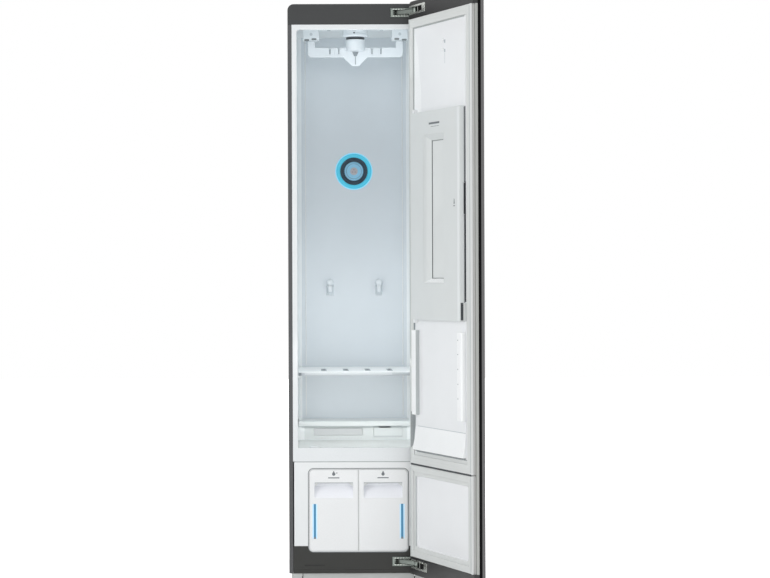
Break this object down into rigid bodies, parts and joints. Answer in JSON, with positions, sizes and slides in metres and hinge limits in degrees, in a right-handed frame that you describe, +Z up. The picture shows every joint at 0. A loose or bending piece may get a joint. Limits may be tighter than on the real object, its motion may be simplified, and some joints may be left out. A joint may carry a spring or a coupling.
{
  "type": "clothes care steam cabinet",
  "caption": "Tall free-standing steam cabinet for clothes: hinged door with trouser press, shaking hanger bar, shelf, light ring, water tanks and heat-pump machinery.",
  "frame": {"origin": "centre of the footprint of the cabinet with its door standing open, at floor level", "axes": "+Z up, +Y from the door side to the back, +X to the hinge side, seen from the front"},
  "size_m": [0.591, 0.9864, 1.85],
  "materials": {
    "case_graphite": "satin painted sheet steel",
    "galvanised": "plain galvanised sheet",
    "base_graphite": "fine matt grain",
    "trim_white": "smooth moulded plastic",
    "liner_white": "smooth moulded liner",
    "panel_white": "smooth moulded plastic",
    "kick_grey": "fine matt grain",
    "foot_black": "matt rubber pads on steel studs",
    "hinge_steel": "brushed stamped steel",
    "door_glass": "black back-painted tempered glass",
    "door_black": "black moulded frame",
    "edge_metal": "satin anodised strip",
    "foam": "rigid insulating foam",
    "door_white": "smooth moulded liner",
    "gasket_grey": "soft magnetic seal",
    "press_white": "smooth moulded plastic",
    "press_plate": "satin pressing plate",
    "ring_light": "glowing light guide",
    "ring_dark": "dark moulded bezel",
    "lens_blue": "tinted lens",
    "shelf_white": "smooth moulded plastic",
    "filter_grey": "fine mesh in a moulded frame",
    "hanger_white": "smooth moulded plastic",
    "drive_white": "smooth moulded plastic",
    "drive_dark": "dark moulded plastic",
    "motor_steel": "plain motor can",
    "board_green": "circuit board",
    "duct_grey": "moulded duct",
    "coil_fins": "plain fins",
    "compressor_black": "semi-gloss paint",
    "hose_clear": "silicone hose",
    "copper": "drawn copper tube",
    "tank_white": "smooth moulded plastic",
    "level_blue": "translucent level strip"
  },
  "bodies": {
    "cabinet": {"side_panels": "case_graphite", "top_cover": "case_graphite", "back_cover": "galvanised", "top_front_frame": "case_graphite", "front_trim": "trim_white", "inner_liner": "liner_white", "lower_front_panel": "panel_white", "base_front_cover": "base_graphite", "base_pan": "galvanised", "kick_plate": "kick_grey", "levelling_feet": "foot_black", "tank_bay": "panel_white", "hinge_boxes": "hinge_steel", "wall_hooks": "hanger_white", "light_ring": "ring_light", "sensor_bezel": "ring_dark", "sensor_lens": "lens_blue", "steam_nozzle": "shelf_white", "module_housing": "shelf_white", "hanger_guides": "hanger_white", "drive_flange": "drive_white", "hanger_motor": "motor_steel", "control_board": "board_green", "air_duct": "duct_grey", "heat_pump_coils": "coil_fins", "fan_housing": "duct_grey", "fan_motor": "motor_steel", "compressor": "compressor_black", "steam_generator": "galvanised", "water_pumps": "drive_dark", "hoses": "hose_clear", "refrigerant_pipes": "copper", "mains_inlet": "drive_dark"},
    "hinge_arms": {"hinge_arms": "hinge_steel"},
    "door": {"door_hinge_brackets": "hinge_steel", "door_glass": "door_glass", "door_frame": "door_black", "door_edge_trims": "edge_metal", "door_foam": "foam", "upper_door_liner": "door_white", "lower_door_liner": "door_white", "door_gaskets": "gasket_grey", "drip_ledge": "door_white", "trouser_rails": "press_white", "press_brackets": "press_white"},
    "press": {"press_panel": "press_white", "press_plate": "press_plate"},
    "fill_tank": {"fill_tank": "tank_white", "fill_level_window": "level_blue", "fill_tank_lid": "tank_white"},
    "drain_tank": {"drain_tank": "tank_white", "drain_level_window": "level_blue", "drain_tank_lid": "tank_white"},
    "shelf": {"shelf": "shelf_white"},
    "lint_filter": {"lint_filter": "filter_grey"},
    "aroma_tray": {"aroma_tray": "shelf_white"},
    "hanger": {"hanger_bar": "hanger_white", "drive_cover": "drive_white"},
    "crank": {"hanger_crank": "drive_dark"},
    "fan": {"circulation_fan": "drive_dark"}
  },
  "joints": [
    {"name": "arm_swing", "type": "hinge", "parent": "cabinet", "child": "hinge_arms", "pos_m": [0.04648, -0.02889, 0], "axis": [0, 0, 1], "range_deg": [0, 19.93]},
    {"name": "door_swing", "type": "hinge", "parent": "hinge_arms", "child": "door", "pos_m": [0.11165, -0.09429, 0], "axis": [0, 0, 1], "range_deg": [-132.24, 0]},
    {"name": "press_swing", "type": "hinge", "parent": "door", "child": "press", "pos_m": [0.10701, -0.14812, 0], "axis": [0, 0, -1], "range_deg": [0, 70]},
    {"name": "fill_tank_slide", "type": "slide", "parent": "cabinet", "child": "fill_tank", "axis": [0, -1, 0], "range_m": [0, 0.2]},
    {"name": "drain_tank_slide", "type": "slide", "parent": "cabinet", "child": "drain_tank", "axis": [0, -1, 0], "range_m": [0, 0.2]},
    {"name": "shelf_lift", "type": "slide", "parent": "cabinet", "child": "shelf", "axis": [0, 0, 1], "range_m": [0, 0.07]},
    {"name": "lint_filter_slide", "type": "slide", "parent": "cabinet", "child": "lint_filter", "axis": [0, -1, 0], "range_m": [0, 0.045]},
    {"name": "aroma_tray_slide", "type": "slide", "parent": "cabinet", "child": "aroma_tray", "axis": [0, -1, 0], "range_m": [0, 0.08]},
    {"name": "hanger_shake", "type": "slide", "parent": "cabinet", "child": "hanger", "axis": [1, 0, 0], "range_m": [-0.01, 0.01]},
    {"name": "crank_turn", "type": "hinge", "parent": "cabinet", "child": "crank", "pos_m": [-0.07303, 0.14121, 1.7575], "axis": [0, 0, 1], "range_deg": [-56, 56]},
    {"name": "fan_spin", "type": "hinge", "parent": "cabinet", "child": "fan", "pos_m": [0.01897, 0.31621, 0.318], "axis": [1, 0, 0], "continuous": true}
  ],
  "couplings": [
    {"joint": "arm_swing", "follows": "door_swing", "ratio": -0.15},
    {"joint": "crank_turn", "follows": "hanger_shake", "rad_per_m": 94.375}
  ]
}
